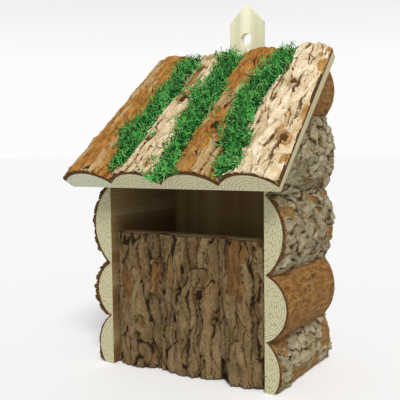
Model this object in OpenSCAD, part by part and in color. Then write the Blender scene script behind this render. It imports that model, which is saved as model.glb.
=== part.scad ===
// Open-fronted bird nest box made of half logs, with a lean-to roof of bark slabs.
// +X is to the right of someone facing the box, +Y is towards the wall it hangs on, +Z is up.
// The origin is on the underside of the floor, in the middle of the box.

/* [Box] */
// Clear width between the two log walls
box_w = 120; // [105:1:160]
// Depth of the log walls, front to back
box_d = 90; // [80:1:130]
// Height of the roof's underside over the front ends of the walls
eave_h = 143.5; // [132:0.5:180]
// Thickness of the back board
back_t = 10; // [8:0.5:14]
// Thickness of the floor board
floor_t = 10; // [8:0.5:14]
// Gap between a board and each wall it fits between
board_gap = 0.3; // [0.1:0.1:1]

/* [Side logs] */
// Heights of the four lower right-hand logs, from the bottom
right_h = [32, 41.5, 49.5, 50.5]; // [25:0.5:60]
// How far each of them bulges out from its flat side, without bark
right_bulge = [10.5, 15, 13, 14]; // [8:0.5:18]
// Thickness of the bark on each of them
right_bark = [1.4, 0.8, 3, 2.8]; // [0.5:0.1:4]
// Heights of the four lower left-hand logs, from the bottom
left_h = [34.5, 37.5, 54.5, 49.5]; // [25:0.5:60]
// How far each of them bulges out from its flat side, without bark
left_bulge = [12, 12.5, 14.5, 13]; // [8:0.5:18]
// Thickness of the bark on each of them
left_bark = [1.6, 3.6, 2.6, 2.4]; // [0.5:0.1:4]
// How far each top log bulges out
top_bulge = 13.5; // [8:0.5:16]
// Thickness of the bark on the top logs
top_bark = 1; // [0.5:0.1:3]
// Thickness of the wood of a wall log near its sawn edges
log_side_t = 1.5; // [1.2:0.1:2]
// How much less the wall logs bulge at the back, where they are thinner
log_thin = 5.5; // [0:0.5:6]
// How far the walls' level tops stay below the roof at the back board
top_drop = 8; // [4:0.5:16]
// How much is sawn off the round underside of the bottom logs
foot_cut = 6; // [4:0.5:8]
// How high the bark of the bottom logs stops above their feet
bark_lift = 1; // [0.5:0.5:3]

/* [Front] */
// Height of the top of the low front above the feet
front_h = 94; // [70:1:110]
// Widths of the first two upright slabs from the left (the third fills the rest)
front_w = [36.5, 48.5]; // [30:0.5:55]
// Thickness of a slab at its middle, without bark
front_t = 18; // [14:0.5:22]
// Thickness of a slab at its sides
front_side_t = 9; // [6:0.5:12]
// Thickness of the bark on the front
front_bark = 3.5; // [1.5:0.5:5]
// How far the bark of the front sits behind the ends of the walls
front_inset = 1; // [0:0.5:8]
// How high the front slabs stop above the feet
front_lift = 1; // [0.5:0.5:5]

/* [Roof] */
// Slope of the roof
pitch = 43; // [36:0.5:46]
// How far the underside reaches out in front of the walls
eave = 18; // [10:1:30]
// How far the roof reaches past the inside of the left wall, at the front
roof_left = 23; // [18:1:32]
// How far the roof reaches past the inside of the right wall
roof_right = 20; // [18:1:32]
// Widths of the first three roof slabs at the front (the fourth fills the rest)
roof_w = [41, 40, 42]; // [34:0.5:50]
// Their widths at the back, where the logs are thinner
roof_back_w = [40, 36, 38]; // [32:0.5:48]
// How much the left edge of the roof comes in towards the back
roof_taper = 15; // [0:1:18]
// How much the right edge comes in
roof_right_taper = 3; // [0:0.5:4]
// Thickness of a roof slab at its middle, at the front, without bark
roof_t = 13; // [10:0.5:16]
// How much thinner a slab is at the back
roof_thin = 2; // [0:0.5:3]
// Height of a slab's sawn side edge at the front
roof_side_t = 3.5; // [3:0.5:6]
// Thickness of the bark on the roof
roof_bark = 2.5; // [1:0.5:4]
// How far the underside of the left edge is cut in under its bark
wane = 5; // [0:0.5:7]
// Height of that undercut
wane_h = 8; // [5:0.5:10]
// Gap between the back ends of the slabs and the back board
roof_gap = 6; // [1:0.5:8]
// Thickness of the batten under the slabs
batten_t = 10; // [8:0.5:12]
// Width of the batten along the slope
batten_w = 20; // [16:1:26]
// Distance of the batten's middle from the front edge, along the slope
batten_s = 60; // [50:1:75]

/* [Moss] */
// Radius of a moss strip's rounded top
moss_r = 13; // [9:0.5:14]
// Height of the centre of that round above the underside of the roof
moss_z = 6; // [4:0.5:8]
// Distances of the strips' front ends from the front edge of the roof
moss_start = [10, 2, 5]; // [0:1:30]

/* [Hanger] */
// Width of the hanging batten
hanger_w = 27; // [22:1:36]
// Thickness of the hanging batten
hanger_t = 5; // [4:0.5:8]
// Height of the hanging batten's shoulders above the back board
hanger_rise = 28.5; // [24:0.5:60]
// Height of its lower end above the feet
hanger_foot = 15; // [5:1:60]
// Diameter of the hanging hole
hole_d = 9; // [6:0.5:12]
// Distance of the hole's centre below the shoulders
hole_drop = 12.5; // [9:0.5:16]

/* [Nails] */
// Diameter of the headless nails that hold the wood together
nail_d = 1.6; // [1.2:0.1:2.2]
// How deep a nail goes into the second piece
nail_bite = 18; // [12:1:20]
// How deep a nail through the roof goes into a wall
roof_nail_bite = 15; // [12:0.5:16]
// How far the blunt end of a nail is sunk into the wood
nail_sink = 1; // [0.5:0.5:2]
// Diameter of the nails in the hanging batten
hanger_nail_d = 2; // [1.6:0.1:2.6]
// How far the points of those nails stop short of the inside of the back board
nail_short = 2; // [1:0.5:4]
// Diameter of their heads
nail_head_d = 4.4; // [3.6:0.1:5]
// Thickness of their heads
nail_head_t = 0.8; // [0.5:0.1:1.2]
// Gap all round a nail in its hole
nail_gap = 0.05; // [0.02:0.01:0.1]

/* [Hidden] */
$fn = 96;

// Longer than anything in the box, for cutting tools
reach = 2 * (box_w + box_d + eave_h);
wall_x = box_w / 2;
front_y = -box_d / 2;
rear_y = box_d / 2;
back_y = rear_y - back_t;
panel_y = front_y + front_inset + front_bark + front_t;
RIGHT = 1;
LEFT = -1;

// The roof's own frame starts at the front edge of its underside and runs up the slope
roof_y = front_y - eave;
roof_z = eave_h - eave * tan(pitch);
roof_len = (back_y - roof_gap - roof_y) / cos(pitch);
function under_roof(y) = eave_h + (y - front_y) * tan(pitch);

top_h = under_roof(back_y) - top_drop;
back_h = under_roof(back_y) - board_gap;
shoulder_h = back_h + hanger_rise;
hole_h = shoulder_h - hole_drop;

// Radius of the arc that rises by "rise" over a chord of width w
function arc_r(w, rise) = (w * w / 4 + rise * rise) / (2 * rise);
function sum(v, n) = n == 0 ? 0 : v[n - 1] + sum(v, n - 1);

// The lists of a wall's lower four logs: heights, bulges, barks
function wall(side) = side == RIGHT ? [right_h, right_bulge, right_bark] : [left_h, left_bulge, left_bark];
function log_z(side, i) = sum(wall(side)[0], i);
function log_h(side, i) = i < 4 ? wall(side)[0][i] : top_h - log_z(side, 4);
function log_bark(side, i) = i < 4 ? wall(side)[2][i] : top_bark;
function log_bulge(side, i) = i < 4 ? wall(side)[1][i] : min(top_bulge, 0.45 * log_h(side, i));
function log_cut(i) = i == 0 ? foot_cut : 0;
function log_w(side, i) = log_h(side, i) + log_cut(i);
function log_rise(side, i) = log_bulge(side, i) - log_side_t;
function log_drop(side, i) = min(log_thin, 0.4 * log_rise(side, i));
function log_bulge_at(side, i, y) = log_bulge(side, i) - log_drop(side, i) * (y - front_y) / box_d;
function log_mid(side, i) = log_z(side, i) + log_h(side, i) / 2;

function front_x(i) = i == 3 ? wall_x - board_gap : i == 0 ? board_gap - wall_x : sum(front_w, i) - wall_x;
function front_mid(i) = (front_x(i) + front_x(i + 1)) / 2;
function front_rise(i) = min(front_t - front_side_t, 0.45 * (front_x(i + 1) - front_x(i)));

function roof_x(i) = i == 4 ? wall_x + roof_right : sum(roof_w, i) - wall_x - roof_left;
function roof_back_x(i) = i == 4 ? roof_x(4) - roof_right_taper : sum(roof_back_w, i) + roof_x(0) + roof_taper;
function roof_seam(i, s) = roof_x(i) + s / roof_len * (roof_back_x(i) - roof_x(i));
function roof_mid(i, s) = (roof_seam(i, s) + roof_seam(i + 1, s)) / 2;

// Where the nails go
wall_nail_y = rear_y - back_t / 2;
floor_nail_z = floor_t / 2;
floor_nail_y = [panel_y + nail_bite + 4, back_y - 10];
panel_nail_y = panel_y - front_side_t / 2;
pin_z = [for (share = [0.3, 0.7]) share * front_h];
pin_half = nail_bite / 2;
roof_nail_x = wall_x + 2.5;
roof_nail_s = [batten_s - 26, batten_s + 36];
roof_nail_top = roof_side_t - nail_sink / 2;
hanger_nail_z = [for (share = [0.15, 0.45, 0.85]) hanger_foot + share * (back_h - hanger_foot)];

// Flat side on the x axis, round side up: the sawn wood of one half log
module half_log(w, side_t, rise) {
    r = arc_r(w, rise);
    intersection() {
        translate([0, side_t + rise - r]) circle(r);
        translate([-w / 2, 0]) square([w, side_t + rise]);
    }
}

// The bark over the same half log
module half_bark(w, side_t, rise, bark_t) {
    r = arc_r(w, rise);
    intersection() {
        translate([0, side_t + rise - r]) difference() {
            circle(r + bark_t);
            circle(r);
        }
        translate([-w / 2, 0]) square([w, side_t + rise + bark_t]);
    }
}

// Everything below the roof slabs
module below_roof() {
    translate([0, roof_y, roof_z]) rotate([pitch, 0, 0])
        translate([-reach / 2, -reach, -reach]) cube([reach, 3 * reach, reach]);
}

// The round of a wall log, as a cone through both of the log's edges that is flatter at the back
module wall_round(side, i, grow = 0) {
    w = log_w(side, i);
    rise = log_rise(side, i);
    drop = log_drop(side, i);
    front_r = arc_r(w, rise);
    back_r = arc_r(w, rise - drop);
    swing = atan2(back_r - front_r + drop, box_d);
    axis = box_d / cos(swing);
    widen = (back_r - front_r) / axis;
    spare = axis / 4;
    z = log_z(side, i) - log_cut(i) + w / 2;
    translate([side * (wall_x + log_side_t + rise - front_r), front_y, z])
        rotate([0, 0, side * swing]) rotate([-90, 0, 0]) translate([0, 0, -spare])
            cylinder(r1 = front_r - spare * widen + grow, r2 = back_r + spare * widen + grow,
                h = axis + 2 * spare);
}

// The sawn outline of a wall log, deep enough for its bark, from a given height up
module wall_outline(side, i, lowest) {
    z = max(log_z(side, i) - log_cut(i), lowest);
    deep = log_bulge(side, i) + log_bark(side, i) + 1;
    translate([side == RIGHT ? wall_x : -wall_x - deep, front_y, z])
        cube([deep, box_d, log_z(side, i) + log_h(side, i) - z]);
}

// A headless nail from one point to another, along X or along Y
module brad(from, to, grow = 0) {
    v = to - from;
    turn = v[1] == 0 ? [0, 90 * sign(v[0]), 0] : [-90 * sign(v[1]), 0, 0];
    translate(from) rotate(turn) cylinder(d = nail_d + 2 * grow, h = norm(v));
}

// One nail through each wall log into the edge of the back board
module wall_brad(side, i, grow = 0) {
    out = wall_x + log_bulge_at(side, i, wall_nail_y) - nail_sink;
    z = log_mid(side, i);
    brad([side * out, wall_nail_y, z], [side * (wall_x - nail_bite), wall_nail_y, z], grow);
}

module wall_brads(grow = 0) {
    for (side = [LEFT, RIGHT], i = [0:4]) wall_brad(side, i, grow);
}

// Nails through the bottom logs into the ends of the floor board
module floor_side_brads(side, grow = 0) {
    for (y = floor_nail_y) {
        out = wall_x + log_bulge_at(side, 0, y) / 2;
        brad([side * out, y, floor_nail_z], [side * (wall_x - nail_bite), y, floor_nail_z], grow);
    }
}

// Nails through the back board into the back edge of the floor board
module floor_back_brads(grow = 0) {
    for (x = [-box_w / 4, box_w / 4])
        brad([x, rear_y - nail_sink, floor_nail_z], [x, back_y - nail_bite, floor_nail_z], grow);
}

// Nails through the front slabs into the front edge of the floor board
module front_floor_brads(grow = 0) {
    out = panel_y - front_t + nail_sink;
    for (x = [front_mid(0), front_mid(1), front_mid(2)])
        brad([x, out, floor_nail_z], [x, panel_y + nail_bite, floor_nail_z], grow);
}

// Nails through the side logs into the outer edges of the front
module front_side_brads(side, grow = 0) {
    for (i = [0, 1]) {
        out = wall_x + log_bulge_at(side, i, panel_nail_y) - nail_sink;
        z = log_mid(side, i);
        brad([side * out, panel_nail_y, z], [side * (wall_x - nail_bite), panel_nail_y, z], grow);
    }
}

// Pins that join each front slab to the next
module front_pins(grow = 0) {
    for (i = [1, 2], z = pin_z)
        brad([front_x(i) - pin_half, panel_nail_y, z], [front_x(i) + pin_half, panel_nail_y, z], grow);
}

// Nails square to the roof, through a slab into the batten
module batten_brads(i, grow = 0) {
    low_x = max(roof_seam(i, batten_s), -wall_x);
    high_x = min(roof_seam(i + 1, batten_s), wall_x);
    for (share = [0.3, 0.7])
        translate([low_x + share * (high_x - low_x), batten_s, nail_sink - batten_t])
            cylinder(d = nail_d + 2 * grow, h = batten_t - nail_sink + roof_nail_top);
}

// Nails square to the roof, through an outer slab into its wall
module roof_wall_brads(side, grow = 0) {
    for (s = roof_nail_s)
        translate([side * roof_nail_x, s, -roof_nail_bite])
            cylinder(d = nail_d + 2 * grow, h = roof_nail_bite + roof_nail_top);
}

// Moves children into the roof's own frame
module on_roof() {
    translate([0, roof_y, roof_z]) rotate([pitch, 0, 0]) children();
}

// Flat-headed nails from behind, through the hanging batten into the back board
module hanger_nail(z, grow = 0) {
    translate([0, rear_y + hanger_t, z]) rotate([90, 0, 0]) {
        cylinder(d = nail_head_d + 2 * grow, h = nail_head_t + grow);
        cylinder(d = hanger_nail_d + 2 * grow, h = hanger_t + back_t - nail_short);
    }
}

module wall_log(side, i) {
    color("palegoldenrod") difference() {
        intersection() {
            wall_outline(side, i, 0);
            wall_round(side, i);
            below_roof();
        }
        wall_brad(side, i, nail_gap);
        if (i == 0) floor_side_brads(side, nail_gap);
        if (i < 2) front_side_brads(side, nail_gap);
        if (i > 1) on_roof() roof_wall_brads(side, nail_gap);
    }
}

module wall_bark(side, i, tone) {
    color(tone) difference() {
        intersection() {
            wall_outline(side, i, bark_lift);
            wall_round(side, i, log_bark(side, i));
            below_roof();
        }
        wall_round(side, i);
        if (i > 1) on_roof() roof_wall_brads(side, nail_gap);
    }
}

module front_slab(i) {
    w = front_x(i + 1) - front_x(i);
    color("tan") difference() {
        translate([front_mid(i), panel_y, front_lift]) linear_extrude(front_h - front_lift)
            rotate(180) half_log(w, front_t - front_rise(i), front_rise(i));
        front_floor_brads(nail_gap);
        front_side_brads(LEFT, nail_gap);
        front_side_brads(RIGHT, nail_gap);
        front_pins(nail_gap);
    }
}

module front_bark(i) {
    w = front_x(i + 1) - front_x(i);
    color("saddlebrown") translate([front_mid(i), panel_y, front_lift])
        linear_extrude(front_h - front_lift)
            rotate(180) half_bark(w, front_t - front_rise(i), front_rise(i), front_bark);
}

// The round of a roof slab, as a cylinder that sinks into the roof's underside towards the back
module roof_round(i, grow = 0) {
    r = arc_r(roof_x(i + 1) - roof_x(i), roof_t - roof_side_t);
    turn = atan2(roof_mid(i, roof_len) - roof_mid(i, 0), roof_len);
    sink = atan2(roof_thin, roof_len);
    translate([roof_mid(i, 0), 0, roof_t - r]) rotate([0, 0, -turn]) rotate([-90 - sink, 0, 0])
        translate([0, 0, -roof_len / 2]) cylinder(r = r + grow, h = 2 * roof_len);
}

// The sawn outline of a roof slab, square to its underside, with the undercut of the left edge
module roof_outline(i) {
    plan = [[roof_x(i), 0], [roof_x(i + 1), 0], [roof_back_x(i + 1), roof_len], [roof_back_x(i), roof_len]];
    difference() {
        linear_extrude(2 * roof_t) polygon(plan);
        if (i == 0) translate([roof_x(0), 0, wane_h])
            rotate([0, 0, -atan2(roof_taper, roof_len)]) rotate([0, -atan2(wane, wane_h), 0])
                translate([-2 * roof_t, -roof_len, -reach / 2]) cube([2 * roof_t, 3 * roof_len, reach]);
    }
}

module roof_slab(i) {
    color("palegoldenrod") on_roof() difference() {
        intersection() {
            roof_outline(i);
            roof_round(i);
        }
        batten_brads(i, nail_gap);
        if (i == 0) roof_wall_brads(LEFT, nail_gap);
        if (i == 3) roof_wall_brads(RIGHT, nail_gap);
    }
}

module roof_bark(i, tone) {
    color(tone) on_roof() intersection() {
        roof_outline(i);
        difference() {
            roof_round(i, roof_bark);
            roof_round(i);
        }
    }
}

// Moss lies in the valley between two slabs, on their bark
module moss_strip(i) {
    turn = atan2(roof_back_x(i) - roof_x(i), roof_len);
    color("forestgreen") on_roof() difference() {
        intersection() {
            translate([roof_x(i), 0, moss_z]) rotate([0, 0, -turn]) rotate([-90, 0, 0])
                translate([0, 0, -roof_len / 2]) cylinder(r = moss_r, h = 2 * roof_len);
            translate([-reach / 2, moss_start[i - 1], -roof_t])
                cube([reach, roof_len - moss_start[i - 1], 3 * roof_t]);
        }
        roof_round(i - 1, roof_bark);
        roof_round(i, roof_bark);
    }
}

module back_board() {
    color("burlywood") difference() {
        translate([board_gap - wall_x, back_y, 0]) cube([box_w - 2 * board_gap, back_t, back_h]);
        wall_brads(nail_gap);
        floor_back_brads(nail_gap);
        for (z = hanger_nail_z) hanger_nail(z, nail_gap);
    }
}

module floor_board() {
    color("burlywood") difference() {
        translate([board_gap - wall_x, panel_y, 0])
            cube([box_w - 2 * board_gap, back_y - panel_y, floor_t]);
        floor_side_brads(LEFT, nail_gap);
        floor_side_brads(RIGHT, nail_gap);
        floor_back_brads(nail_gap);
        front_floor_brads(nail_gap);
    }
}

// The hanging batten has a pointed top and lies flat on the back board
module hanger() {
    half = hanger_w / 2;
    outline = [[-half, hanger_foot], [half, hanger_foot], [half, shoulder_h],
        [0, shoulder_h + half], [-half, shoulder_h]];
    color("cornsilk") difference() {
        translate([0, rear_y + hanger_t, 0]) rotate([90, 0, 0]) linear_extrude(hanger_t) polygon(outline);
        translate([0, rear_y - 1, hole_h]) rotate([-90, 0, 0]) cylinder(d = hole_d, h = hanger_t + 2);
        for (z = hanger_nail_z) hanger_nail(z, nail_gap);
    }
}

module roof_batten() {
    color("burlywood") on_roof() difference() {
        translate([board_gap - wall_x, batten_s - batten_w / 2, -batten_t])
            cube([box_w - 2 * board_gap, batten_w, batten_t]);
        for (i = [0:3]) batten_brads(i, nail_gap);
    }
}

module wall_nails() {
    color("silver") wall_brads();
}

module floor_nails() {
    color("silver") {
        floor_side_brads(LEFT);
        floor_side_brads(RIGHT);
        floor_back_brads();
    }
}

module front_nails() {
    color("silver") {
        front_floor_brads();
        front_side_brads(LEFT);
        front_side_brads(RIGHT);
        front_pins();
    }
}

module roof_nails() {
    color("silver") on_roof() {
        for (i = [0:3]) batten_brads(i);
        roof_wall_brads(LEFT);
        roof_wall_brads(RIGHT);
    }
}

module hanger_nails() {
    color("silver") for (z = hanger_nail_z) hanger_nail(z);
}

back_board();
floor_board();
hanger();
roof_batten();
wall_log(RIGHT, 0);  // right_log_1
wall_log(RIGHT, 1);  // right_log_2
wall_log(RIGHT, 2);  // right_log_3
wall_log(RIGHT, 3);  // right_log_4
wall_log(RIGHT, 4);  // right_log_5
wall_log(LEFT, 0);  // left_log_1
wall_log(LEFT, 1);  // left_log_2
wall_log(LEFT, 2);  // left_log_3
wall_log(LEFT, 3);  // left_log_4
wall_log(LEFT, 4);  // left_log_5
wall_bark(RIGHT, 0, "rosybrown");  // right_bark_1
wall_bark(RIGHT, 1, "peru");  // right_bark_2
wall_bark(RIGHT, 2, "darkkhaki");  // right_bark_3
wall_bark(RIGHT, 3, "rosybrown");  // right_bark_4
wall_bark(RIGHT, 4, "sienna");  // right_bark_5
wall_bark(LEFT, 0, "sienna");  // left_bark_1
wall_bark(LEFT, 1, "saddlebrown");  // left_bark_2
wall_bark(LEFT, 2, "saddlebrown");  // left_bark_3
wall_bark(LEFT, 3, "saddlebrown");  // left_bark_4
wall_bark(LEFT, 4, "sienna");  // left_bark_5
front_slab(0);  // front_slab_1
front_slab(1);  // front_slab_2
front_slab(2);  // front_slab_3
front_bark(0);  // front_bark_1
front_bark(1);  // front_bark_2
front_bark(2);  // front_bark_3
roof_slab(0);  // roof_slab_1
roof_slab(1);  // roof_slab_2
roof_slab(2);  // roof_slab_3
roof_slab(3);  // roof_slab_4
roof_bark(0, "chocolate");  // roof_bark_1
roof_bark(1, "tan");  // roof_bark_2
roof_bark(2, "peru");  // roof_bark_3
roof_bark(3, "wheat");  // roof_bark_4
moss_strip(1);  // moss_strip_1
moss_strip(2);  // moss_strip_2
moss_strip(3);  // moss_strip_3
wall_nails();
floor_nails();
front_nails();
roof_nails();
hanger_nails();
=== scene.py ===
import math
import random

import bmesh
import bpy
from mathutils import Matrix, Vector, noise


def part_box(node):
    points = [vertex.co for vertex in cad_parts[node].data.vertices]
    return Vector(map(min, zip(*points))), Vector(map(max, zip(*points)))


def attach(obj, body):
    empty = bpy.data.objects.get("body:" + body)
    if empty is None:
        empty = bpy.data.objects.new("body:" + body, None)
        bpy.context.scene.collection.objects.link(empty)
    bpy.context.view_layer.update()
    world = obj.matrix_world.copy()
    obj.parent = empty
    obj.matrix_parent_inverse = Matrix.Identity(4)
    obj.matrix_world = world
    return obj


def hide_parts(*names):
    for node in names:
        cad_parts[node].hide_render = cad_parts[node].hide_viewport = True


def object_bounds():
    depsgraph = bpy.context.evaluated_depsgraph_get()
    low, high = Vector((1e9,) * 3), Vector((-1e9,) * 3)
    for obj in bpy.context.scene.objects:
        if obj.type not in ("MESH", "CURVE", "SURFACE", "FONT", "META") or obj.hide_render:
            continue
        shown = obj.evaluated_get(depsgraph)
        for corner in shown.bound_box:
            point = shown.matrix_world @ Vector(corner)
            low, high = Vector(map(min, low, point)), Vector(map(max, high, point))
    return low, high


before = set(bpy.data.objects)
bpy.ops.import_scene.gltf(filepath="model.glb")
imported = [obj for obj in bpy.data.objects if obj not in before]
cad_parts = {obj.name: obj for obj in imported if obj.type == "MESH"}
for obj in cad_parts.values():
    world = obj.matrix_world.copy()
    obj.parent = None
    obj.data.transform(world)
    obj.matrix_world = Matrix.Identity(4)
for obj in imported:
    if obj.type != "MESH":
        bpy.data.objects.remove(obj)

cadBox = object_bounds()
mm = 0.001
xAxis = Vector((1, 0, 0))
yAxis = Vector((0, 1, 0))
zAxis = Vector((0, 0, 1))
upright = (math.pi / 2, 0, 0)
sideways = (0, 0, -math.pi / 2)


# Small helpers

def clamp(value, low=0.0, high=1.0):
    return max(low, min(high, value))


def between(first, second, share):
    return first + (second - first) * share


def ease(low, high, value):
    share = clamp((value - low) / (high - low))
    return share * share * (3 - 2 * share)


def addNode(tree, kind, settings=None, inputs=None):
    node = tree.nodes.new(kind)
    for key, value in (settings or {}).items():
        setattr(node, key, value)
    for key, value in (inputs or {}).items():
        if isinstance(value, bpy.types.NodeSocket):
            tree.links.new(value, node.inputs[key])
        else:
            node.inputs[key].default_value = value
    return node


def startMaterial(name, roughness, specular=0.15):
    material = bpy.data.materials.new(name)
    material.use_nodes = True
    shader = material.node_tree.nodes["Principled BSDF"]
    shader.inputs["Roughness"].default_value = roughness
    shader.inputs["Specular IOR Level"].default_value = specular
    return material, material.node_tree, shader


def mixTones(tree, share, first, second, how="MIX"):
    node = addNode(tree, "ShaderNodeMix", {"data_type": "RGBA", "blend_type": how})
    for index, value in ((0, share), (6, first), (7, second)):
        if isinstance(value, bpy.types.NodeSocket):
            tree.links.new(value, node.inputs[index])
        elif index == 0:
            node.inputs[index].default_value = value
        else:
            node.inputs[index].default_value = (*value, 1)
    return node.outputs[2]


def spread(tree, value, low, high, outLow=0.0, outHigh=1.0):
    inputs = {"Value": value, "From Min": low, "From Max": high, "To Min": outLow, "To Max": outHigh}
    return addNode(tree, "ShaderNodeMapRange", {}, inputs).outputs[0]


def blotches(tree, vector, scale, detail=2.0, roughness=0.5):
    inputs = {"Vector": vector, "Scale": scale, "Detail": detail, "Roughness": roughness}
    return addNode(tree, "ShaderNodeTexNoise", {}, inputs).outputs["Fac"]


def addBump(tree, shader, height, strength, distance):
    inputs = {"Height": height, "Strength": strength, "Distance": distance}
    bump = addNode(tree, "ShaderNodeBump", {}, inputs)
    tree.links.new(bump.outputs[0], shader.inputs["Normal"])


def dress(node, material):
    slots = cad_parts[node].data.materials
    slots.clear()
    slots.append(material)


def newObject(name, mesh):
    piece = bpy.data.objects.new(name, mesh)
    bpy.context.scene.collection.objects.link(piece)
    return piece


# Sawn wood

woodLooks = {
    # The logs' flat tone shows on the walls' inner faces: the wood's own brown, darkened further as painted
    # shade for the inside of the house
    "logs": {"end": (0.5, 0.485, 0.32), "flat": (0.36, 0.27, 0.13), "ring": (0.33, 0.28, 0.15),
             "fleck": (0.2, 0.15, 0.06), "streak": (0.14, 0.065, 0.018), "ringScale": 190,
             "fleckScale": 620, "flecks": (0.46, 0.38)},
    "roof": {"end": (0.6, 0.57, 0.38), "flat": (0.6, 0.54, 0.36), "ring": (0.44, 0.4, 0.24),
             "fleck": (0.22, 0.17, 0.08), "streak": (0.4, 0.33, 0.18), "ringScale": 140,
             "fleckScale": 680, "flecks": (0.45, 0.37)},
    "coolRoof": {"end": (0.6, 0.61, 0.47), "flat": (0.6, 0.56, 0.4), "ring": (0.46, 0.47, 0.34),
                 "fleck": (0.22, 0.2, 0.11), "streak": (0.4, 0.34, 0.2), "ringScale": 140,
                 "fleckScale": 680, "flecks": (0.42, 0.35)},
    "front": {"end": (0.3, 0.22, 0.11), "flat": (0.36, 0.26, 0.13), "ring": (0.22, 0.15, 0.07),
              "fleck": (0.1, 0.055, 0.02), "streak": (0.2, 0.12, 0.05), "ringScale": 150,
              "fleckScale": 600, "flecks": (0.45, 0.37)},
    # The boards stand inside the house: their own brown, darkened further as painted shade
    "boards": {"end": (0.5, 0.4, 0.22), "flat": (0.3, 0.2, 0.085), "ring": (0.34, 0.24, 0.1),
               "fleck": (0.16, 0.09, 0.03), "streak": (0.17, 0.095, 0.03), "ringScale": 60,
               "fleckScale": 380, "flecks": (0.42, 0.35)},
    "hanger": {"end": (0.8, 0.76, 0.55), "flat": (0.84, 0.81, 0.6), "ring": (0.7, 0.66, 0.44),
               "fleck": (0.45, 0.42, 0.25), "streak": (0.56, 0.54, 0.34), "ringScale": 70,
               "fleckScale": 300, "flecks": (0.42, 0.33)},
}


woodSettings = {
    "roughness": 0.78, "endFacing": (0.6, 0.8), "drawnOut": 0.03, "ringBend": 2.2, "ringDetail": 3,
    "ringDetailScale": 0.6, "ringFade": (0.3, 1), "ringShare": 0.75, "fleckRoughness": 0.6, "fleckShare": 0.6,
    "fuzzScale": 1500, "fuzzRoughness": 0.7, "fuzzFade": (0.3, 0.7), "fuzzShare": 0.18,
    "broadScale": 60, "broadDetail": 3, "broadRoughness": 0.6, "broadFade": (0.35, 0.68),
    "flatRings": 0.45, "flatFlecks": 0.22, "bump": (0.3, 0.4 * mm),
}


def sawnWood(name, looks, pith, axis, turn=(0, 0, 0)):
    # The pattern is solid: rings round the pith, drawn out along the grain
    settings = woodSettings
    material, tree, shader = startMaterial(name, settings["roughness"])
    coords = addNode(tree, "ShaderNodeTexCoord").outputs["Object"]
    facing = addNode(tree, "ShaderNodeNewGeometry").outputs["Normal"]
    facing = addNode(tree, "ShaderNodeVectorMath", {"operation": "DOT_PRODUCT"}, {0: facing, 1: axis})
    facing = facing.outputs["Value"]
    facing = addNode(tree, "ShaderNodeMath", {"operation": "ABSOLUTE"}, {0: facing}).outputs[0]
    sawnEnd = spread(tree, facing, *settings["endFacing"])
    inputs = {"Vector": coords, "Location": pith, "Rotation": turn}
    local = addNode(tree, "ShaderNodeMapping", {"vector_type": "TEXTURE"}, inputs).outputs[0]
    inputs = {"Vector": local, "Scale": (1, settings["drawnOut"], 1)}
    grain = addNode(tree, "ShaderNodeMapping", {}, inputs).outputs[0]
    inputs = {"Vector": grain, "Scale": looks["ringScale"], "Distortion": settings["ringBend"],
              "Detail": settings["ringDetail"], "Detail Scale": settings["ringDetailScale"]}
    rings = addNode(tree, "ShaderNodeTexWave", {"wave_type": "RINGS", "rings_direction": "Y"}, inputs)
    ringShare = spread(tree, rings.outputs["Fac"], *settings["ringFade"], 0, settings["ringShare"])
    fleck = blotches(tree, grain, looks["fleckScale"], 2, settings["fleckRoughness"])
    fleckShare = spread(tree, fleck, *looks["flecks"], 0, settings["fleckShare"])
    fuzz = blotches(tree, local, settings["fuzzScale"], 2, settings["fuzzRoughness"])
    fuzzShare = spread(tree, fuzz, *settings["fuzzFade"], 0, settings["fuzzShare"])
    broad = blotches(tree, grain, settings["broadScale"], settings["broadDetail"], settings["broadRoughness"])
    broadShare = spread(tree, broad, *settings["broadFade"])
    end = mixTones(tree, ringShare, looks["end"], looks["ring"])
    end = mixTones(tree, fleckShare, end, looks["fleck"])
    flat = mixTones(tree, broadShare, looks["flat"], looks["streak"])
    flat = mixTones(tree, spread(tree, ringShare, 0, 1, 0, settings["flatRings"]), flat, looks["streak"])
    flat = mixTones(tree, spread(tree, fleckShare, 0, 1, 0, settings["flatFlecks"]), flat, looks["fleck"])
    body = mixTones(tree, sawnEnd, flat, end)
    body = mixTones(tree, fuzzShare, body, looks["fleck"])
    tree.links.new(body, shader.inputs["Base Color"])
    rough = addNode(tree, "ShaderNodeMath", {"operation": "ADD"}, {0: fleck, 1: fuzz}).outputs[0]
    addBump(tree, shader, rough, *settings["bump"])
    return material


# Half logs: where their round side lies

def arcRadius(half, rise):
    return (half ** 2 + rise ** 2) / (2 * rise)


def halfLog(origin, across, out, along, mid, half, thickness, edge, length, sink=0.0):
    # mid, half, radius and centre hold the values at the start and at the end of the log
    radius = arcRadius(half[0], thickness - edge)
    centre = thickness - radius
    return {"origin": origin, "across": across, "out": out, "along": along, "mid": mid, "half": half,
            "radius": (radius, radius), "centre": (centre, centre - sink), "length": length, "lean": 0}


def onLog(log, u, s, lift):
    share = s / log["length"]
    half = between(*log["half"], share)
    radius = between(*log["radius"], share) + lift
    angle = u * math.asin(min(1.0, half / radius))
    side = between(*log["mid"], share) + radius * math.sin(angle)
    height = between(*log["centre"], share) + radius * math.cos(angle)
    if log["lean"]:
        height = coneHeight(log, side - log["mid"][0], s, lift)
    return side, height, radius * angle


coneSteps = 5


def coneHeight(log, off, s, lift):
    # A wall log is a cone whose axis leans inwards, so its section is settled in a few steps
    widen = (log["radius"][1] - log["radius"][0]) * math.cos(log["lean"]) / log["length"]
    out = 0.0
    for step in range(coneSteps):
        along = s * math.cos(log["lean"]) - out * math.sin(log["lean"])
        radius = log["radius"][0] + widen * along + lift
        reach = math.sqrt(max(radius ** 2 - off ** 2, 0))
        out = (reach - s * math.sin(log["lean"])) / math.cos(log["lean"])
    return log["centre"][0] + out


def logPoint(log, side, height, s):
    return log["origin"] + log["across"] * side + log["out"] * height + log["along"] * s


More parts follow.
